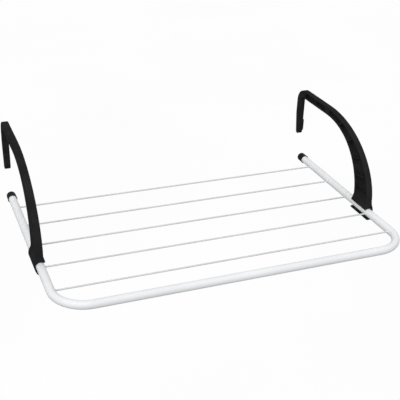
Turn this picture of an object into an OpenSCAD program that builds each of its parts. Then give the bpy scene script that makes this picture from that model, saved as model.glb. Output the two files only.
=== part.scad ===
// Hook-on folding drying rack.
// A bent steel tube carries five drying wires. Two moulded arms snap over its side tubes,
// hook over a rail or a radiator, and turn about the tubes to lie flat on the wires.
// Frame: +X to the right, +Y away from the user, +Z up. The origin lies midway between the
// hooks, where the plane they hang by meets the front faces of their legs.

/* [Frame] */
// Width over the outsides of the two side tubes
overall_w = 520; // [440:10:640]
// From the front faces of the hook legs to the centreline of the front tube
reach = 342; // [340:1:346]
// Outside diameter of the bent tube
tube_d = 12; // [11:0.5:13]
// Wall thickness of the bent tube
tube_wall = 1; // [0.8:0.1:1.5]
// Centreline radius of the two front bends
bend_r = 45; // [40:1:50]
// From the legs' front faces to the cut ends of the side tubes
tube_end_gap = 14; // [12:1:18]

/* [Drying wires] */
// Diameter of each wire
wire_d = 2.4; // [2:0.1:2.6]
// Spacing of the wires
wire_pitch = 60; // [59:0.5:61]
// Length of the weld at each end of a wire
weld_l = 2.5; // [1.5:0.5:4]

/* [Arms] */
// Depth of the tubes' centreline below the plane that the hooks hang by
drop = 108; // [106:1:112]
// Thickness of an arm, across the rack
arm_t = 9.6; // [8:0.1:10]
// Height of the straight bar of the hook
bar_h = 13; // [10:0.5:14]
// Width of the rim around the pockets in the inner face
rim = 2.6; // [2:0.1:3]
// Depth of the pockets in the inner face
pocket_depth = 5.5; // [3:0.5:6]

/* [Clips] */
// Wall thickness of the clip around the tube
clip_wall = 2.5; // [1.8:0.1:2.6]
// Running clearance between the tube and the clip's bore, on the radius
clip_clearance = 0.06; // [0.03:0.01:0.1]
// Length of the clip along the tube
clip_l = 40; // [38:0.5:46]
// How far the bottom of the clip reaches forward as a stop, under the wire in front of it
tongue_l = 8.5; // [6:0.5:10]

/* [End caps and pads] */
// Length of a cap, from its open rim to its flat end
cap_l = 16; // [14:1:20]
// Wall thickness of a cap's sleeve
cap_wall = 1; // [0.8:0.1:1.5]
// How far a grip pad stands out of the leg's front face
pad_t = 4.5; // [2:0.5:5]

/* [Hidden] */
$fn = 48;

// Frame
tube_r = tube_d / 2;
axis_x = overall_w / 2 - tube_r;
front_y = -reach;
bend_y = front_y + bend_r;
bend_x = axis_x - bend_r;
tube_end_y = -tube_end_gap;

// Wires: the front one sits where the bends end
wire_r = wire_d / 2;
weld_r = 2 * wire_r;
weld_sink = 0.5;
wire_reach = axis_x - tube_r + weld_sink;

// Arms stand centred over the side tubes
half_t = arm_t / 2;

// Clip: it fills the space just behind the second wire
clip_bore_r = tube_r + clip_clearance;
clip_r = clip_bore_r + clip_wall;
clip_gap = 1.3;
clip_front_y = bend_y + wire_pitch + wire_r + clip_gap;
clip_rear_y = clip_front_y + clip_l;
lip_h = 5;
lip_in = 6.9;
shoulder_h = 18;
tongue_in = 6.6;
tongue_drop = 3;

// Arm side view, as [y, z]: two Bezier edges run from the hook's bar down to the foot
steps = 18;
bar_y = -87;
foot_rear_y = -196;
foot_z = -93;
top_edge = [[bar_y, bar_h], [-173.5, bar_h], [clip_front_y, -40.5], [clip_front_y, foot_z]];
under_edge = [[bar_y, 0], [-163.5, 0], [foot_rear_y, -53.5], [foot_rear_y, foot_z]];
corner_r = 22;
leg_back = 10.8;
corner_y = leg_back - corner_r;
corner_z = bar_h - corner_r;
throat_r = 8;
leg_knee = [leg_back, -32];
tip_r = 3;
tip_z = -66;
pocket_stops = [0.03, 0.21, 0.39, 0.57, 0.75, 0.93];
rib_half = 0.007;
bar_pockets = [[-84, -51], [-48.8, -14]];

// Cap and pad
cap_r = tube_r + cap_wall;
cap_bead = 0.3;
cap_round = 3;
cap_squeeze = 0.05;
cap_seat = 3;
pad_w = 9;
pad_sink = 0.5;
pad_top_z = -42;
pad_low_z = -62;

// Point at u, from 0 to 1, on the cubic Bezier curve with control points c
function bezier(c, u) =
    pow(1 - u, 3) * c[0] + 3 * u * pow(1 - u, 2) * c[1] + 3 * u * u * (1 - u) * c[2] + pow(u, 3) * c[3];

// Points of an arc from angle a to angle b, in n steps
function arc(y, z, r, a, b, n) =
    [for (i = [0 : n]) [y + r * cos(a + (b - a) * i / n), z + r * sin(a + (b - a) * i / n)]];

// Point on the pocket's border at u: side is 1 along the top edge and -1 along the under edge
function pocket_edge(u, side) =
    let (top = bezier(top_edge, u), low = bezier(under_edge, u), half = (top - low) / 2)
    (top + low) / 2 + side * half * (1 - rim / norm(half));

// Turns a side view drawn as [y, z] into a plate from x0 to x0 + t
module plate(x0, t) {
    translate([x0, 0, 0])
        rotate([90, 0, 90])
            linear_extrude(t)
                children();
}

// Solid rod of radius r along the whole bent tube, run past its cut ends by extra
module tube_path(r, extra) {
    for (side = [-1, 1]) {
        translate([side * axis_x, bend_y, -drop])
            rotate([-90, 0, 0])
                cylinder(r = r, h = tube_end_y - bend_y + extra);
        translate([side * bend_x, bend_y, -drop])
            rotate([0, 0, side > 0 ? 270 : 180])
                rotate_extrude(angle = 90)
                    translate([bend_r, 0])
                        circle(r = r);
    }
    translate([-bend_x, front_y, -drop])
        rotate([0, 90, 0])
            cylinder(r = r, h = 2 * bend_x);
}

module frame_tube() {
    color("white")
        difference() {
            tube_path(tube_r, 0);
            tube_path(tube_r - tube_wall, 1);
        }
}

// Drying wire number n, counted from the front, with a weld flare at each end
module wire(n) {
    color("gainsboro")
        translate([0, bend_y + (n - 1) * wire_pitch, -drop])
            for (side = [-1, 1])
                mirror([side > 0 ? 0 : 1, 0, 0])
                    rotate([0, 90, 0]) {
                        cylinder(r = wire_r, h = wire_reach);
                        translate([0, 0, wire_reach - weld_l])
                            cylinder(r1 = wire_r, r2 = weld_r, h = weld_l);
                    }
}

// Sleeve that is pushed over the tube's end and closed by a rounded end
module end_cap(side) {
    wall_end = cap_l - cap_seat;
    color("#1c1c1e")
        translate([side * axis_x, tube_end_y - wall_end, -drop])
            rotate([-90, 0, 0])
                difference() {
                    union() {
                        cylinder(r = cap_r, h = cap_l - cap_round);
                        cylinder(r = cap_r + cap_bead, h = 2);
                        translate([0, 0, cap_l - cap_round])
                            rotate_extrude()
                                union() {
                                    square([cap_r - cap_round, cap_round]);
                                    translate([cap_r - cap_round, 0])
                                        intersection() {
                                            circle(r = cap_round);
                                            square(cap_round);
                                        }
                                }
                    }
                    translate([0, 0, -1])
                        cylinder(r = tube_r - cap_squeeze, h = wall_end + 1);
                }
}

// Outline of the arm in the side view
module arm_outline() {
    polygon(concat(
        [for (i = [0 : steps]) bezier(top_edge, i / steps)],
        [[clip_front_y, lip_h - drop], [foot_rear_y, lip_h - drop]],
        [for (i = [steps : -1 : 0]) bezier(under_edge, i / steps)],
        arc(-throat_r, -throat_r, throat_r, 90, 0, 6),
        arc(tip_r, tip_z, tip_r, 180, 360, 8),
        [leg_knee],
        arc(corner_y, corner_z, corner_r, 0, 90, 10)));
}

// Pockets of the inner face, in the side view: a row down the curve and two in the bar
module pocket_outlines() {
    for (i = [0 : len(pocket_stops) - 2]) {
        a = pocket_stops[i] + rib_half;
        b = pocket_stops[i + 1] - rib_half;
        polygon(concat(
            [for (k = [0 : 5]) pocket_edge(a + (b - a) * k / 5, 1)],
            [for (k = [5 : -1 : 0]) pocket_edge(a + (b - a) * k / 5, -1)]));
    }
    for (p = bar_pockets)
        translate([p[0], rim])
            square([p[1] - p[0], bar_h - 2 * rim]);
}

// Clip around the tube, centred on the tube's centreline, with +X inboard
module clip() {
    translate([0, clip_front_y, 0])
        rotate([-90, 0, 0])
            cylinder(r = clip_r, h = clip_l);
    // Shoulders from the arm's faces out to the clip's wall and lip
    translate([0, clip_rear_y, 0])
        rotate([90, 0, 0])
            linear_extrude(clip_l)
                polygon([[lip_in, lip_h], [half_t, shoulder_h], [-half_t, shoulder_h],
                         [-clip_r, 1], [-clip_r, 0], [0, 0]]);
    // Bottom wall, which ends inboard in a nose and in front in the stop tongue
    translate([-clip_r / 2, clip_front_y, -clip_r])
        cube([clip_r / 2 + tongue_in, clip_l, clip_wall + 1]);
    translate([0, clip_front_y - tongue_l, -clip_r])
        cube([tongue_in, tongue_l + 1, clip_wall]);
    // Outer wall below the tube's side, carried forward with the tongue
    translate([0, clip_front_y - tongue_l, 0])
        intersection() {
            rotate([-90, 0, 0])
                cylinder(r = clip_r, h = tongue_l + 1);
            translate([-clip_r - 1, 0, -clip_r - 1])
                cube([clip_r + 1, tongue_l + 1, clip_r + 1 - tongue_drop]);
        }
}

// Left arm, moulded in one piece
module arm() {
    color("#232325")
        difference() {
            union() {
                translate([-axis_x, 0, 0])
                    plate(-half_t, arm_t)
                        arm_outline();
                translate([-axis_x, 0, -drop])
                    clip();
            }
            // Pockets in the inner face
            translate([-axis_x, 0, 0])
                plate(half_t - pocket_depth, pocket_depth + 1)
                    pocket_outlines();
            // Bore for the tube
            translate([-axis_x, clip_front_y - tongue_l - 1, -drop])
                rotate([-90, 0, 0])
                    cylinder(r = clip_bore_r, h = clip_l + tongue_l + 2);
            // Mouth of the clip, open towards the wires
            translate([-axis_x, clip_front_y - 1, -drop - clip_bore_r])
                cube([clip_r + 1, clip_l + 2, clip_bore_r + lip_h]);
        }
}

// Soft pad on the front face of the left arm's leg
module grip_pad() {
    color("#2e2e31")
        translate([-axis_x, 0, 0])
            plate(-pad_w / 2, pad_w)
                polygon([[pad_sink, pad_top_z], [0, pad_top_z], [-pad_t + 0.3, pad_top_z - 3.5],
                         [-pad_t, pad_top_z - 7], [-pad_t, pad_low_z + 7], [-pad_t + 1, pad_low_z + 2],
                         [0, pad_low_z], [pad_sink, pad_low_z]]);
}

module mirrored() {
    mirror([1, 0, 0])
        children();
}

frame_tube();
wire(1);  // wire_1
wire(2);  // wire_2
wire(3);  // wire_3
wire(4);  // wire_4
wire(5);  // wire_5
end_cap(-1);  // left_end_cap
end_cap(1);  // right_end_cap
arm();  // left_arm
mirrored() arm();  // right_arm
grip_pad();  // left_grip_pad
mirrored() grip_pad();  // right_grip_pad
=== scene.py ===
"""Looks of a hook-on folding drying rack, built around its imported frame.

A bent tube in white powder coat carries five drying wires. Two black moulded arms snap over its
side tubes and fold about them. Everything is in metres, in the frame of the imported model.
"""

import math

import bpy
import numpy as np
from mathutils import Matrix, Vector


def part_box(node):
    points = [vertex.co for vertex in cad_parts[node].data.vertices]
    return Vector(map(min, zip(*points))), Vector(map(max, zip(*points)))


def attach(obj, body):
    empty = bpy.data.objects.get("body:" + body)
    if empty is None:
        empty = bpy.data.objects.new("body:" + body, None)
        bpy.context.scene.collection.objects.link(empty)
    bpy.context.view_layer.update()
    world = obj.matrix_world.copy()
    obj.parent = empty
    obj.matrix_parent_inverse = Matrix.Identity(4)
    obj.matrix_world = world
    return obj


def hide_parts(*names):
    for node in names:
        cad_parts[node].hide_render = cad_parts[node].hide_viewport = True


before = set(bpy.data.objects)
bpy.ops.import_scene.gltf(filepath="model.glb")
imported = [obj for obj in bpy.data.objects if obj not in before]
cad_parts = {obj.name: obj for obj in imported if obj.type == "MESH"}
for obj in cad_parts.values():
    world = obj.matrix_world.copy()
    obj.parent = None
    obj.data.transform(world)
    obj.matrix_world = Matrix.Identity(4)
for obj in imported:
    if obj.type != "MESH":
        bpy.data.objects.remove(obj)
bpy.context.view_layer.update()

MM = 0.001
TURN = 2 * math.pi


# ---------------------------------------------------------------- places taken from the frame

tube_lo, tube_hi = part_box("frame_tube")
TUBE_R = (tube_hi.z - tube_lo.z) / 2
TUBE_Z = (tube_hi.z + tube_lo.z) / 2
AXIS_X = tube_hi.x - TUBE_R
FRONT_Y = tube_lo.y + TUBE_R
TUBE_END_Y = tube_hi.y
BEND_R = 45 * MM
TUBE_WALL = 1 * MM

arm_lo, arm_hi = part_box("left_arm")
TONGUE_L = 8.5 * MM
CLIP_L = 40 * MM
CLIP_WALL = 2.5 * MM
CLIP_FRONT = arm_lo.y + TONGUE_L
CLIP_REAR = CLIP_FRONT + CLIP_L
CLIP_R = TUBE_Z - arm_lo.z
BORE_R = CLIP_R - CLIP_WALL
BAR_TOP = arm_hi.z
LEG_BACK = arm_hi.y
ARM_T = 9.6 * MM


# ---------------------------------------------------------------- curves

def smooth(t):
    """3 t squared minus 2 t cubed, with t held between 0 and 1."""
    t = np.clip(t, 0, 1)
    return t * t * (3 - 2 * t)


def bezier(c, u):
    """Point at u on the cubic curve whose control points are the rows of c: the rows' sum,
    weighted by (1 - u) cubed, 3 u (1 - u) squared, 3 u squared (1 - u) and u cubed."""
    c = np.asarray(c, float)
    u = np.asarray(u, float)[:, None]
    v = 1 - u
    return v**3 * c[0] + 3 * u * v**2 * c[1] + 3 * u * u * v * c[2] + u**3 * c[3]


def arc(centre, radius, start, end, n):
    """n points at centre plus radius times (cos a, sin a), with a in even steps from start to
    end, in degrees."""
    a = np.radians(np.linspace(start, end, n))
    return np.column_stack([centre[0] + radius * np.cos(a), centre[1] + radius * np.sin(a)])


def full_turn(n):
    """n angles from 0 in even steps of one full turn, in radians."""
    return np.arange(n) / n * TURN


# ---------------------------------------------------------------- meshes

SHARP = 38


def skin(rings, looped=False):
    """Vertices and faces of a closed surface: rings is (n, m, 3), point j of ring i joins point
    j + 1 and ring i + 1. The last ring joins the first if looped, or else each end is one face."""
    n, m = rings.shape[:2]
    i = np.arange(n if looped else n - 1)[:, None]
    j = np.arange(m)[None]
    next_i = (i + 1) % n
    next_j = (j + 1) % m
    corners = [i * m + j, i * m + next_j, next_i * m + next_j, next_i * m + j]
    faces = np.stack(corners, -1).reshape(-1, 4).tolist()
    if not looped:
        faces += [list(range(m))[::-1], list(range((n - 1) * m, n * m))]
    return rings.reshape(-1, 3), faces


def turned(profile, axis_x, centre_z, n=48):
    """Profile of (y, r) pairs carried round the line along Y at (axis_x, centre_z):
    x = axis_x + r cos a, z = centre_z + r sin a."""
    a = full_turn(n)
    y, r = np.asarray(profile, float).T
    x = axis_x + r[:, None] * np.cos(a)
    z = centre_z + r[:, None] * np.sin(a)
    return np.stack([x, y[:, None] + 0 * a, z], -1)


def volume(verts, faces):
    """Sum over the faces' fans of the triple product of each triangle's corners, over 6."""
    total = 0.0
    by_size = {}
    for face in faces:
        by_size.setdefault(len(face), []).append(face)
    for size, group in by_size.items():
        v = verts[np.array(group)]
        for k in range(1, size - 1):
            total += np.einsum("ij,ij->", v[:, 0], np.cross(v[:, k], v[:, k + 1]))
    return total / 6


def shown(name, data):
    """Object of a mesh, light or camera, linked to the scene."""
    thing = bpy.data.objects.new(name, data)
    bpy.context.scene.collection.objects.link(thing)
    return thing


def finished(name, mesh):
    """Object with smooth shading, broken where two faces meet at more than SHARP degrees."""
    mesh.polygons.foreach_set("use_smooth", np.ones(len(mesh.polygons), bool))
    mesh.set_sharp_from_angle(angle=math.radians(SHARP))
    mesh.update()
    return shown(name, mesh)


def make(name, verts, faces):
    """Object from a closed shell, whose faces are turned so that its volume is positive."""
    if volume(verts, faces) < 0:
        faces = [face[::-1] for face in faces]
    mesh = bpy.data.meshes.new(name)
    mesh.from_pydata(verts.tolist(), [], faces)
    mesh.validate()
    return finished(name, mesh)


def joined(name, base, other):
    """One skin from two overlapping closed objects, by exact union."""
    step = base.modifiers.new("join", "BOOLEAN")
    step.operation = "UNION"
    step.solver = "EXACT"
    step.object = other
    shapes = bpy.context.evaluated_depsgraph_get()
    mesh = bpy.data.meshes.new_from_object(base.evaluated_get(shapes))
    mesh.name = name
    bpy.data.objects.remove(base)
    bpy.data.objects.remove(other)
    return finished(name, mesh)


def mirrored(thing, name):
    """Copy with x turned to minus x, and its faces turned back outwards."""
    mesh = thing.data.copy()
    mesh.name = name
    mesh.transform(Matrix.Diagonal((-1, 1, 1, 1)))
    mesh.flip_normals()
    return shown(name, mesh)


# ---------------------------------------------------------------- bent tube

def tube_path():
    """Points and directions of the tube's line in plan: down the left side, round a quarter
    circle, along the front, round the other quarter circle and up the right side."""
    bend_x, bend_y = AXIS_X - BEND_R, FRONT_Y + BEND_R
    down = np.linspace(TUBE_END_Y, bend_y, 30)
    across = np.linspace(-bend_x, bend_x, 34)[1:]
    up = down[::-1][1:]
    line = np.vstack([
        np.column_stack([np.full_like(down, -AXIS_X), down]),
        arc((-bend_x, bend_y), BEND_R, 180, 270, 26)[1:],
        np.column_stack([across, np.full_like(across, FRONT_Y)]),
        arc((bend_x, bend_y), BEND_R, 270, 360, 26)[1:],
        np.column_stack([np.full_like(up, AXIS_X), up]),
    ])
    direction = np.gradient(line, axis=0)
    return line, direction / np.linalg.norm(direction, axis=1)[:, None]


def bent_tube():
    """The tube's circle carried along its path outside, over the cut end, back along the bore and
    over the other end: its centre plus r cos a across the path and r sin a up. In the bends it is
    flattened by 2.5% across and raised by 1%, blended in over 6 mm."""
    flatten, lift, blend = 0.025, 0.01, 6 * MM
    line, along = tube_path()
    in_bend = smooth((FRONT_Y + BEND_R + 4 * MM - line[:, 1]) / blend)
    in_bend *= smooth((np.abs(line[:, 0]) - (AXIS_X - BEND_R - 3 * MM)) / blend)
    edge = 0.3 * MM
    lip = np.array([[0.0, 1.0], [0.3, 0.3], [1.0, 0.0]]) * edge
    inner_r = TUBE_R - TUBE_WALL
    last = len(line) - 1
    rings = [(0, TUBE_R - less, back) for back, less in lip]
    rings += [(i, TUBE_R, 0) for i in range(1, last)]
    rings += [(last, TUBE_R - less, back) for back, less in lip[::-1]]
    rings += [(last, inner_r + less, back) for back, less in lip]
    rings += [(i, inner_r, 0) for i in range(last - 1, 0, -1)]
    rings += [(0, inner_r + less, back) for back, less in lip[::-1]]
    at, radius, back = (np.array(column) for column in zip(*rings))
    way = along[at]
    centre = line[at] + way * back[:, None] * np.where(at > 0, -1, 1)[:, None]
    bend = in_bend[at][:, None]
    a = full_turn(56)
    across = radius[:, None] * (1 - flatten * bend) * np.cos(a)
    up = radius[:, None] * (1 + lift * bend) * np.sin(a)
    x = centre[:, :1] - way[:, 1:] * across
    y = centre[:, 1:] + way[:, :1] * across
    return make("tube", *skin(np.stack([x, y, TUBE_Z + up], -1), looped=True))


# ---------------------------------------------------------------- drying wires

def drying_wire(number):
    """Wire carried along X: its radius is even, and over the last weld length it grows with a
    power of the way to the tube, plus a small lobed unevenness, to nearly twice its radius."""
    lo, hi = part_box(f"wire_{number}")
    reach, radius, weld = hi.x, 1.2 * MM, 3.4 * MM
    y, z = (lo.y + hi.y) / 2, (lo.z + hi.z) / 2
    flare = np.concatenate([[0, 0.15], np.linspace(0.3, 1, 9)])
    inside = np.linspace(-1, 1, 41)[1:-1] * (reach - weld)
    x = np.concatenate([-reach + weld * (1 - flare[::-1]), inside, reach - weld * (1 - flare)])
    x = x[:, None]
    grow = np.clip((np.abs(x) - (reach - weld)) / weld, 0, 1)
    a = full_turn(24)
    lobes = 0.10 * np.sin(3 * a + 1.7 * number + np.sign(x))
    lobes = lobes + 0.06 * np.sin(5 * a + 2.9 * number)
    r = radius * (1 + 0.95 * grow**2.2 * (1 + lobes))
    rings = np.stack([x + 0 * a, y + r * np.cos(a), z + r * np.sin(a)], -1)
    return make(f"drying_wire_{number}", *skin(rings))


# ---------------------------------------------------------------- end caps

def end_cap(side):
    """Sleeve and rounded end: a profile of (y, r) pairs, from the middle of the socket's floor out
    over the rolled rim and along the sleeve to a dimple in the end, carried round the tube."""
    lo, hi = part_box(f"{side}_end_cap")
    length = hi.y - lo.y
    outer = 7 * MM
    rolled = outer + 0.3 * MM
    bore = TUBE_R - 0.05 * MM
    end_r = 3 * MM
    socket = length - 3 * MM
    centre = 0.01 * MM
    inside = [
        [socket, centre], [socket, bore * 0.5], [socket, bore - 0.4 * MM],
        [socket - 0.4 * MM, bore], [6 * MM, bore], [0.9 * MM, bore],
    ]
    rim = [
        [0.35 * MM, bore + 0.12 * MM], [0.08 * MM, bore + 0.4 * MM], [0, bore + 0.7 * MM],
        [0.08 * MM, rolled - 0.35 * MM], [0.35 * MM, rolled - 0.1 * MM], [0.8 * MM, rolled],
        [1.4 * MM, rolled], [1.9 * MM, rolled - 0.12 * MM], [2.2 * MM, outer - 0.02 * MM],
    ]
    sleeve = [[2.6 * MM, outer - 0.08 * MM], [5 * MM, outer - 0.04 * MM], [length - 4 * MM, outer]]
    round_end = arc((length - end_r, outer - end_r), end_r, 90, 6, 12)
    dimple = [
        [length - 0.02 * MM, 3.4 * MM], [length - 0.06 * MM, 2.2 * MM],
        [length - 0.14 * MM, 1.7 * MM], [length - 0.5 * MM, 1.45 * MM],
        [length - 0.6 * MM, 1.1 * MM], [length - 0.6 * MM, centre],
    ]
    profile = np.vstack([inside, rim, sleeve, round_end, dimple])
    profile[:, 0] += lo.y
    return make(f"cap_{side}", *skin(turned(profile, (lo.x + hi.x) / 2, TUBE_Z)))


# ---------------------------------------------------------------- arms

BAR_Y = -87 * MM
FOOT_REAR_Y = -196 * MM
FOOT_Z = -93 * MM
FOOT_BASE_Z = -100 * MM
TOP_EDGE = [[BAR_Y, BAR_TOP], [-173.5 * MM, BAR_TOP], [CLIP_FRONT, -40.5 * MM], [CLIP_FRONT, FOOT_Z]]
UNDER_EDGE = [[BAR_Y, 0], [-163.5 * MM, 0], [FOOT_REAR_Y, -53.5 * MM], [FOOT_REAR_Y, FOOT_Z]]
CORNER_R = 22 * MM
CORNER = (LEG_BACK - CORNER_R, BAR_TOP - CORNER_R)
THROAT_R = 8 * MM
KNEE_Z = -32 * MM
TIP_R = 3 * MM
TIP_Z = -66 * MM
TIP_TURN = 76

POCKETS = [(0.03, 0.21), (0.21, 0.39), (0.39, 0.57), (0.57, 0.75), (0.75, 0.93)]
BAR_POCKETS = [(-84 * MM, -51 * MM), (-48.8 * MM, -14 * MM)]
POCKET_DEPTH = 5.5 * MM
RIB_DEPTH = 0.25 * MM
RIB = 1.0 * MM
RIM = 2.6 * MM

FOOT_POINTS = 3
CURVE_POINTS = 400
BAR_POINTS = 198
CORNER_POINTS = 60
LEG_POINTS = 119
TIP_POINTS = 19


def arm_edges():
    """The two edges of the arm in side view, as matching (y, z) points from the foot to the tip:
    up the foot, along the two cubic curves, the bar, the hook's corner and the leg, and round the
    tip. Below the knee the leg's back tapers with the way down to the power 1.05."""
    low = np.linspace(FOOT_BASE_Z, FOOT_Z, FOOT_POINTS + 1)[:-1]
    foot_top = np.column_stack([np.full_like(low, CLIP_FRONT), low])
    foot_under = np.column_stack([np.full_like(low, FOOT_REAR_Y), low])
    u = np.linspace(1, 0, CURVE_POINTS)
    share = np.linspace(0, 1, BAR_POINTS + 2)[1:-1]
    bar_top = np.column_stack([BAR_Y + (CORNER[0] - BAR_Y) * share, np.full_like(share, BAR_TOP)])
    bar_under = np.column_stack([BAR_Y + (-THROAT_R - BAR_Y) * share, np.zeros_like(share)])
    corner_top = arc(CORNER, CORNER_R, 90, 0, CORNER_POINTS)
    corner_under = arc((-THROAT_R, -THROAT_R), THROAT_R, 90, 0, CORNER_POINTS)
    down = np.linspace(0, 1, LEG_POINTS + 1)[1:]
    leg_under = np.column_stack([np.zeros_like(down), -THROAT_R + (TIP_Z + THROAT_R) * down])
    leg_z = CORNER[1] + (TIP_Z - CORNER[1]) * down
    below_knee = np.clip((KNEE_Z - leg_z) / (KNEE_Z - TIP_Z), 0, 1)
    leg_y = LEG_BACK + (2 * TIP_R - LEG_BACK) * below_knee**1.05
    leg_top = np.column_stack([leg_y, leg_z])
    tip_top = arc((TIP_R, TIP_Z), TIP_R, 0, -TIP_TURN, TIP_POINTS + 1)[1:]
    tip_under = arc((TIP_R, TIP_Z), TIP_R, 180, 180 + TIP_TURN, TIP_POINTS + 1)[1:]
    top = np.vstack([foot_top, bezier(TOP_EDGE, u), bar_top, corner_top, leg_top, tip_top])
    under = [foot_under, bezier(UNDER_EDGE, u), bar_under, corner_under, leg_under, tip_under]
    return top, np.vstack(under)


def arm_stations():
    """Edge points at the places along the arm that its shape needs, with the depth of the inner
    face there and the way left to the tip. The depth is that of the ribs, and goes smoothly to
    that of the pockets over 0.9 mm at the two ends of each pocket."""
    top, under = arm_edges()
    middle = (top + under) / 2
    way = np.concatenate([[0], np.cumsum(np.linalg.norm(np.diff(middle, axis=0), axis=1))])
    curve_end = FOOT_POINTS + CURVE_POINTS
    bar_end = curve_end + BAR_POINTS
    curve_way = way[FOOT_POINTS:curve_end]
    corner_way = way[bar_end + 1:bar_end + CORNER_POINTS - 1:2]
    u = np.linspace(0, 1, CURVE_POINTS)
    ends = []
    for a, b in POCKETS:
        ends.append([np.interp(1 - b, u, curve_way) + RIB, np.interp(1 - a, u, curve_way) - RIB])
    for pocket in BAR_POCKETS:
        ends.append(np.interp(pocket, middle[curve_end:bar_end, 0], way[curve_end:bar_end]))
    wall = 0.9 * MM
    near = np.array([-0.5, -0.15, 0.0, 0.12, 0.3, 0.5, 0.7, 0.88, 1.0, 1.25]) * wall
    spots = [np.linspace(0, way[-1], 190), corner_way, way[-TIP_POINTS:]]
    for a, b in ends:
        spots += [a + near, b - near]
    at = np.unique(np.round(np.concatenate(spots), 6))
    at = at[np.concatenate([[True], np.diff(at) > 0.04 * MM])]
    share = np.zeros(len(at))
    for a, b in ends:
        share = np.maximum(share, np.minimum(smooth((at - a) / wall), smooth((b - at) / wall)))
    top = np.column_stack([np.interp(at, way, top[:, 0]), np.interp(at, way, top[:, 1])])
    under = np.column_stack([np.interp(at, way, under[:, 0]), np.interp(at, way, under[:, 1])])
    return top, under, RIB_DEPTH + (POCKET_DEPTH - RIB_DEPTH) * share, way[-1] - at


def arm_section(width, thick, depth, panel):
    """Outline of the arm across its length: n runs from the under edge to the top edge and x from
    the outer face to the inner one. The inner face has a pocket inside a rim, with drafted walls
    and rounded edges, and the outer face bulges by 0.15 mm times a half wave."""
    r = min(0.9 * MM, width * 0.3)
    h = thick / 2
    k = min(1.0, width / (4 * RIM))
    rim = RIM * k
    f = 0.45 * MM * k
    q = np.radians(np.linspace(0, 90, 5))
    span = np.linspace(0, 1, 9)[1:-1]
    face = np.column_stack([r + (width - 2 * r) * span, -h - 0.15 * MM * k * np.sin(np.pi * span)])
    c1 = np.column_stack([width - r + r * np.sin(q), -h + r - r * np.cos(q)])
    edge = np.column_stack([np.full(2, width), [-h * 0.3, h * 0.3]])
    c2 = np.column_stack([width - r + r * np.cos(q), h - r + r * np.sin(q)])
    floor_x = h - depth * panel
    draft = 0.12 * depth * panel
    step = min(f, depth * panel * 0.45)
    brow = width - (rim - f)
    foot = width - rim - draft
    wall = np.array([
        [brow + 0.3 * MM * k, h],
        [brow, h - 0.02 * MM],
        [brow - f * 0.6, h - step * 0.3],
        [brow - f, h - step],
        [foot, floor_x + step],
        [foot - f * 0.35, floor_x + step * 0.3],
        [foot - f, floor_x],
    ])
    mid = np.column_stack([np.linspace(width * 0.62, width * 0.38, 4), np.full(4, floor_x)])
    back = wall[::-1] * [-1, 1] + [width, 0]
    c3 = np.column_stack([width - c2[::-1, 0], c2[::-1, 1]])
    edge2 = np.column_stack([np.zeros(2), [h * 0.3, -h * 0.3]])
    c4 = np.column_stack([width - c1[::-1, 0], c1[::-1, 1]])
    return np.vstack([face, c1, edge, c2, wall, mid, back, c3, edge2, c4])


def arm_body():
    """The arm's section carried from the foot to the tip of its leg, which a fan of faces closes.
    A section point is the under edge plus n along the line to the top edge, at x from the side
    tube's axis. The thickness is drawn in by a quarter ellipse over the last 4.5 mm."""
    top, under, depth, left = arm_stations()
    across = top - under
    width = np.linalg.norm(across, axis=1)
    across /= width[:, None]
    tip = np.clip(1 - left / (4.5 * MM), 0, 1)
    thick = ARM_T - 2.2 * MM * (1 - np.sqrt(1 - tip**2 * 0.98))
    panel = smooth((left - 6 * MM) / (5 * MM))
    rings = []
    for i in range(len(top)):
        n, x = arm_section(width[i], thick[i], depth[i], panel[i]).T
        yz = under[i] + n[:, None] * across[i]
        rings.append(np.column_stack([-AXIS_X + x, yz]))
    verts, faces = skin(np.array(rings))
    m = len(rings[0])
    start = len(verts) - m
    middle = verts[start:].mean(0)
    fan = [[start + j, start + (j + 1) % m, start + m] for j in range(m)]
    return make("arm_body", np.vstack([verts, middle]), faces[:-1] + fan)


def clip_profile():
    """The clip across the tube, x inboard and z up from its axis, as two matched rows of points:
    the outside, from the lip over two cubic shoulders and round to the nose, and the bore, a
    circle that ends on the nose's upper side. It is worked out in millimetres."""
    s = np.linspace(0, 1, 12)
    big, small = CLIP_R / MM, BORE_R / MM
    nose_r, nose_x = 0.8, 5.8
    lip = [[6.3, 4.98], [6.7, 5.15], [6.9, 5.6]]
    inner_side = bezier([[6.9, 6.2], [6.9, 9.0], [4.6, 11.5], [4.6, 18]], s)
    outer_side = bezier([[-4.6, 18], [-4.6, 11.5], [-big, 7.5], [-big, 0]], s)
    around = arc((0, 0), big, 180, 270, 19)[1:]
    nose = np.vstack([[[3, -big]], arc((nose_x, -big + nose_r), nose_r, -90, -10, 5)])
    arch = arc((0, 0), small, 55.5, 180, 27)
    under = arc((0, 0), small, 180, 270, 19)[1:]
    nose_top = np.vstack([[[3, -small]], arc((nose_x, -small - nose_r), nose_r, 90, 10, 5)])
    outside = np.vstack([lip, inner_side, outer_side, around, nose])
    return outside * MM, np.vstack([arch, under, nose_top]) * MM


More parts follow.
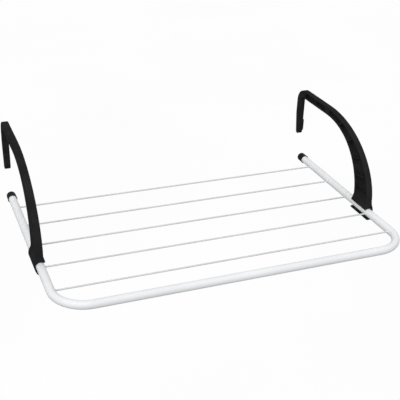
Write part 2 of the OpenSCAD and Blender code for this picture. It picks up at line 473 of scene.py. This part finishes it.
def clip_body():
    """The clip's outline carried along the tube and drawn in over the last 0.45 mm at each end.
    Above the bore its height is scaled: at the rear it rises as a quarter circle, and inboard it
    sweeps down towards the front as a quarter ellipse. Below the tube's side its front end runs
    forward as a smooth step, into the tongue that stops under the wire."""
    outside, bore = clip_profile()
    outline = np.vstack([outside, bore[::-1]])
    step = np.roll(outline, -1, 0) - np.roll(outline, 1, 0)
    inward = np.column_stack([-step[:, 1], step[:, 0]]) / np.linalg.norm(step, axis=1)[:, None]
    r = 0.45 * MM
    q = np.radians([0, 30, 50, 70, 90])
    length = CLIP_REAR - CLIP_FRONT + 0.1 * MM
    rear = length - 6 * MM
    rise = np.linspace(0, 1, 14)[1:-1]
    s = np.concatenate([np.linspace(0.6 * MM, rear, 22), rear + rise * 5.4 * MM])
    s = np.concatenate([r * (1 - np.cos(q)), s, length - r * (1 - np.cos(q[::-1]))])
    pull = r * (1 - np.sin(q))
    inset = np.concatenate([pull, np.zeros(len(s) - 2 * len(q)), pull[::-1]])
    back = np.clip((length - s) / (4.4 * MM), 0, 1)
    rear_rise = 0.12 + 0.88 * np.sqrt(1 - (1 - back) ** 2)
    sweep = 0.30 + 0.70 * np.sqrt(np.clip(1 - (1 - s / length) ** 2, 0, 1))
    base = 7.2 * MM
    x = outline[None, :, 0] + inset[:, None] * inward[None, :, 0]
    z = outline[None, :, 1] + inset[:, None] * inward[None, :, 1]
    tongue = TONGUE_L * smooth((-z - 1.5 * MM) / (4.5 * MM))
    inboard = smooth((x + 1 * MM) / (3 * MM))
    share = rear_rise[:, None] * (1 - inboard * (1 - sweep[:, None]))
    z = np.where(z > base, base + (z - base) * share, z)
    y = CLIP_REAR - (length - s[:, None]) - tongue * (1 - s[:, None] / length)
    verts, faces = skin(np.stack([-AXIS_X + x, y, TUBE_Z + z], -1))
    n, m = len(s), len(outline)
    k = np.arange(len(outside) - 1)
    end = np.column_stack([k, k + 1, m - 2 - k, m - 1 - k])
    ends = end[:, ::-1].tolist() + (end + (n - 1) * m).tolist()
    return make("clip_body", verts, faces[:-2] + ends)


# ---------------------------------------------------------------- grip pads

def grip_pad():
    """Ribbed pad over a rectangle of x and z, where a and b run from -1 to 1. It stands out by its
    thickness times the cube roots of 1 - |a| to the 7 and 1 - |b| to the 14, less grooves across
    it that follow the square of a cosine and take 26% of that."""
    lo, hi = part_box("left_grip_pad")
    half_x, half_z = (hi.x - lo.x) / 2, (hi.z - lo.z) / 2
    mid_x, mid_z = (hi.x + lo.x) / 2, (hi.z + lo.z) / 2
    even = np.linspace(-1, 1, 85)
    a = np.sin(np.linspace(-1, 1, 23) * math.pi / 2)[:, None]
    b = np.sin(even * math.pi / 2) * 0.5 + even * 0.5
    across = np.clip(1 - np.abs(a) ** 7, 0, 1) ** (1 / 3)
    along = np.clip(1 - np.abs(b) ** 14, 0, 1) ** (1 / 3)
    groove = np.clip(np.cos(b * math.pi * 6), 0, 1) ** 2 * smooth((0.93 - np.abs(b)) / 0.06)
    cut = 0.26 * groove * smooth((0.9 - np.abs(a)) / 0.2)
    height = -lo.y * across * along * (1 - cut)
    x = mid_x + half_x * a + 0 * b
    z = mid_z + half_z * b + 0 * a
    over = np.stack([x, -height, z], -1)
    under = np.stack([x, 0.4 * MM + 0 * x, z], -1)[:, ::-1]
    return make("pad_left", *skin(np.concatenate([over, under], 1)))


# ---------------------------------------------------------------- finishes

class Value:
    """An output socket. Arithmetic with numbers or other sockets adds Math nodes."""

    def __init__(self, nodes, socket):
        self.nodes = nodes
        self.socket = socket

    def math(self, operation, *values):
        return self.nodes.add("ShaderNodeMath", {"operation": operation}, dict(enumerate(values)))

    def __add__(self, other):
        return self.math("ADD", self, other)

    def __mul__(self, other):
        return self.math("MULTIPLY", self, other)

    def __sub__(self, other):
        return self.math("SUBTRACT", self, other)

    def __rsub__(self, other):
        return self.math("SUBTRACT", other, self)

    __radd__ = __add__
    __rmul__ = __mul__


class Nodes:
    """A node tree, with one method that adds any node to it."""

    def __init__(self, tree):
        self.tree = tree

    def add(self, kind, settings, values, out=0):
        node = self.tree.nodes.new(kind)
        for key, value in settings.items():
            setattr(node, key, value)
        for key, value in values.items():
            self.put(node.inputs[key], value)
        return Value(self, node.outputs[out])

    def put(self, socket, value):
        if isinstance(value, Value):
            self.tree.links.new(value.socket, socket)
        else:
            socket.default_value = value

    def ramp(self, value, low, high, start=0.0, end=1.0):
        """start below low, end above high, smooth between."""
        values = {"Value": value, 1: low, 2: high, 3: start, 4: end}
        return self.add("ShaderNodeMapRange", {"interpolation_type": "SMOOTHSTEP"}, values)


class Finish(Nodes):
    """A material on the object's own coordinates."""

    def __init__(self, name, colour, roughness, **fixed):
        self.material = bpy.data.materials.new(name)
        self.material.use_nodes = True
        super().__init__(self.material.node_tree)
        self.shader = self.tree.nodes["Principled BSDF"]
        self.shader.inputs["Base Color"].default_value = (*colour, 1)
        self.shader.inputs["Roughness"].default_value = roughness
        for socket, value in fixed.items():
            self.shader.inputs[socket.replace("_", " ")].default_value = value
        self.place = self.add("ShaderNodeTexCoord", {}, {}, "Object")

    def noise(self, size, detail=2.0, stretch=(1, 1, 1)):
        """Even noise from 0 to 1 whose grains are about size across."""
        spot = self.add("ShaderNodeMapping", {}, {"Vector": self.place, "Scale": stretch})
        values = {"Vector": spot, "Scale": 1 / size, "Detail": detail}
        return self.add("ShaderNodeTexNoise", {}, values)

    def blend(self, share, a, b):
        """Colour a where share is 0 and b where it is 1."""
        a, b = ((*c, 1) if isinstance(c, tuple) else c for c in (a, b))
        return self.add("ShaderNodeMix", {"data_type": "RGBA"}, {0: share, 6: a, 7: b}, 2)

    def bump(self, height, depth):
        """Normal of a surface that stands out by height times depth."""
        values = {"Height": height, "Strength": 1.0, "Distance": depth}
        return self.add("ShaderNodeBump", {}, values)

    def done(self, colour, roughness, normal):
        """The material, with the three things that vary over it."""
        for name, value in (("Base Color", colour), ("Roughness", roughness), ("Normal", normal)):
            self.put(self.shader.inputs[name], value)
        return self.material


def enamel(name, light, dark, gloss, peel):
    """White powder coat: soft clouds of tone, an orange-peel skin and a few finer pits."""
    f = Finish(name, light, gloss, Specular_IOR_Level=0.5)
    cloud = f.noise(55 * MM, 3)
    waves = f.noise(2.6 * MM, 2)
    fine = f.noise(0.7 * MM, 3)
    tone = f.blend(f.ramp(cloud, 0.3, 0.7), light, dark)
    pits = f.ramp(fine, 0.66, 0.74)
    tone = f.blend(pits * 0.25, tone, (0.55, 0.55, 0.55))
    normal = f.bump(waves + fine * 0.25, peel)
    return f.done(tone, gloss + 0.12 * f.noise(9 * MM, 2) + 0.08 * pits, normal)


def moulded(name, light, dark, gloss, shine, grain, depth):
    """Moulded plastic: a fine spark-eroded grain, cloudy gloss, and faint rubbed streaks that are
    glossier and lighter, the lighter tone being a painted sheen.
    """
    f = Finish(name, dark, gloss, Specular_IOR_Level=shine)
    grains = f.noise(grain, 3)
    cloud = f.noise(22 * MM, 3)
    rub_and_painted_sheen = f.ramp(f.noise(3.5 * MM, 4, (1, 0.18, 0.45)), 0.58, 0.78)
    tone = f.blend(f.ramp(cloud, 0.32, 0.68), dark, light)
    # painted sheen: the rubbed streaks are lightened towards 1.7 times the light tone, standing in
    # for light on the plastic; their lower roughness below is real gloss
    tone = f.blend(rub_and_painted_sheen * 0.35, tone, tuple(1.7 * c for c in light))
    rough = gloss + 0.14 * cloud + 0.10 * grains - 0.10 * rub_and_painted_sheen
    return f.done(tone, rough, f.bump(grains, depth))


TUBE_ENAMEL = enamel(
    "powder_coat", light=(0.786, 0.80, 0.812), dark=(0.748, 0.762, 0.775),
    gloss=0.30, peel=0.014 * MM,
)
WIRE_ENAMEL = enamel(
    "wire_coat", light=(0.66, 0.668, 0.68), dark=(0.60, 0.608, 0.62),
    gloss=0.30, peel=0.012 * MM,
)
ARM_PLASTIC = moulded(
    "arm_plastic", light=(0.020, 0.020, 0.0205), dark=(0.0135, 0.0135, 0.014),
    gloss=0.74, shine=0.02, grain=0.45 * MM, depth=0.035 * MM,
)
CAP_PLASTIC = moulded(
    "cap_plastic", light=(0.008, 0.008, 0.009), dark=(0.005, 0.005, 0.006),
    gloss=0.20, shine=0.06, grain=1.6 * MM, depth=0.004 * MM,
)
PAD_RUBBER = moulded(
    "pad_rubber", light=(0.020, 0.020, 0.021), dark=(0.014, 0.014, 0.015),
    gloss=0.78, shine=0.05, grain=0.3 * MM, depth=0.03 * MM,
)


# ---------------------------------------------------------------- putting the pieces together

def place(thing, body, node, material):
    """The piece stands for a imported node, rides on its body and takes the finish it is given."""
    thing.data.materials.clear()
    thing.data.materials.append(material)
    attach(thing, body)
    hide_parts(node)


place(bent_tube(), "rack", "frame_tube", TUBE_ENAMEL)
for number in range(1, 6):
    place(drying_wire(number), "rack", f"wire_{number}", WIRE_ENAMEL)
for side in ("left", "right"):
    place(end_cap(side), "rack", f"{side}_end_cap", CAP_PLASTIC)

left_arm = joined("arm_left", clip_body(), arm_body())
left_pad = grip_pad()
arms = {
    "left": (left_arm, left_pad),
    "right": (mirrored(left_arm, "arm_right"), mirrored(left_pad, "pad_right")),
}
for side, (arm, pad) in arms.items():
    place(arm, f"{side}_hook", f"{side}_arm", ARM_PLASTIC)
    place(pad, f"{side}_hook", f"{side}_grip_pad", PAD_RUBBER)


# ---------------------------------------------------------------- floor, light and camera

def floor(drop, flat_r, cove_r, wall_top):
    """Round floor that turns up into a wall: rings of points at growing radii, flat inside and
    then rising as a quarter circle and straight up. It is lit evenly and throws no light back."""
    flat = [[0.5, 0], [2, 0], [8, 0], [flat_r, 0]]
    curve = arc((flat_r, cove_r), cove_r, -90, 0, 19)[1:]
    r, z = np.vstack([flat, curve, [[flat_r + cove_r, wall_top]]]).T[:, :, None]
    a = full_turn(64)
    verts, faces = skin(np.stack([r * np.cos(a), r * np.sin(a), z - drop + 0 * a], -1))
    mesh = bpy.data.meshes.new("floor")
    mesh.from_pydata(verts.tolist(), [], faces[:-1])
    thing = shown("floor", mesh)
    f = Finish("floor_paint", (0, 0, 0), 0.9, Specular_IOR_Level=0, Emission_Strength=1)
    glow = f.blend(f.noise(0.5, 2), (0.97, 0.97, 0.97), (1, 1, 1))
    f.put(f.shader.inputs["Emission Color"], glow)
    thing.data.materials.append(f.material)
    thing.visible_diffuse = False
    thing.visible_glossy = False
    thing.visible_shadow = False


def sun(name, azimuth, height, strength, spread):
    """Soft light without falloff, from azimuth degrees right of -Y and height degrees up."""
    light = bpy.data.lights.new(name, "SUN")
    light.energy = strength
    light.angle = math.radians(spread)
    a, h = math.radians(azimuth), math.radians(height)
    source = Vector((math.sin(a) * math.cos(h), -math.cos(a) * math.cos(h), math.sin(h)))
    shown(name, light).rotation_euler = (-source).to_track_quat("-Z", "Y").to_euler()


def sky(low, high, towards):
    """Soft studio light from every side: high from the side of towards, low from the far side."""
    world = bpy.data.worlds.new("studio")
    world.use_nodes = True
    f = Nodes(world.node_tree)
    way = f.add("ShaderNodeTexCoord", {}, {}, "Generated")
    values = {0: way, 1: Vector(towards).normalized()}
    lean = f.add("ShaderNodeVectorMath", {"operation": "DOT_PRODUCT"}, values, "Value")
    background = f.tree.nodes["Background"]
    background.inputs["Color"].default_value = (1, 1, 1, 1)
    f.put(background.inputs["Strength"], f.ramp(lean, -1, 1, low, high))
    bpy.context.scene.world = world


def camera(at, yaw, pitch, roll, lens):
    """Camera at a point, looking yaw degrees to the right of +Y and pitch degrees down, then
    rolled. Its axes are right, up and back."""
    data = bpy.data.cameras.new("camera")
    data.sensor_width = 36
    data.lens = lens
    data.clip_start = 0.05
    data.clip_end = 300
    y, p, r = (math.radians(x) for x in (yaw, pitch, roll))
    ahead = Vector((math.sin(y) * math.cos(p), math.cos(y) * math.cos(p), -math.sin(p)))
    level = Vector((math.cos(y), -math.sin(y), 0))
    above = level.cross(ahead)
    right = math.cos(r) * level + math.sin(r) * above
    up = -math.sin(r) * level + math.cos(r) * above
    turn = Matrix((right, up, -ahead)).transposed().to_4x4()
    thing = shown("camera", data)
    thing.matrix_world = Matrix.Translation(at) @ turn
    bpy.context.scene.camera = thing


floor(drop=0.62, flat_r=20, cove_r=10, wall_top=60)
sky(low=0.29, high=0.91, towards=(-0.15, -0.38, 0.91))
sun("key", azimuth=-25, height=55, strength=0.80, spread=50)
sun("left_fill", azimuth=-72, height=28, strength=0.38, spread=70)
camera(at=(-0.41699, -1.17672, 0.4768), yaw=22.465, pitch=27.017, roll=2.225, lens=73.955)
bpy.context.scene.view_settings.view_transform = "Standard"
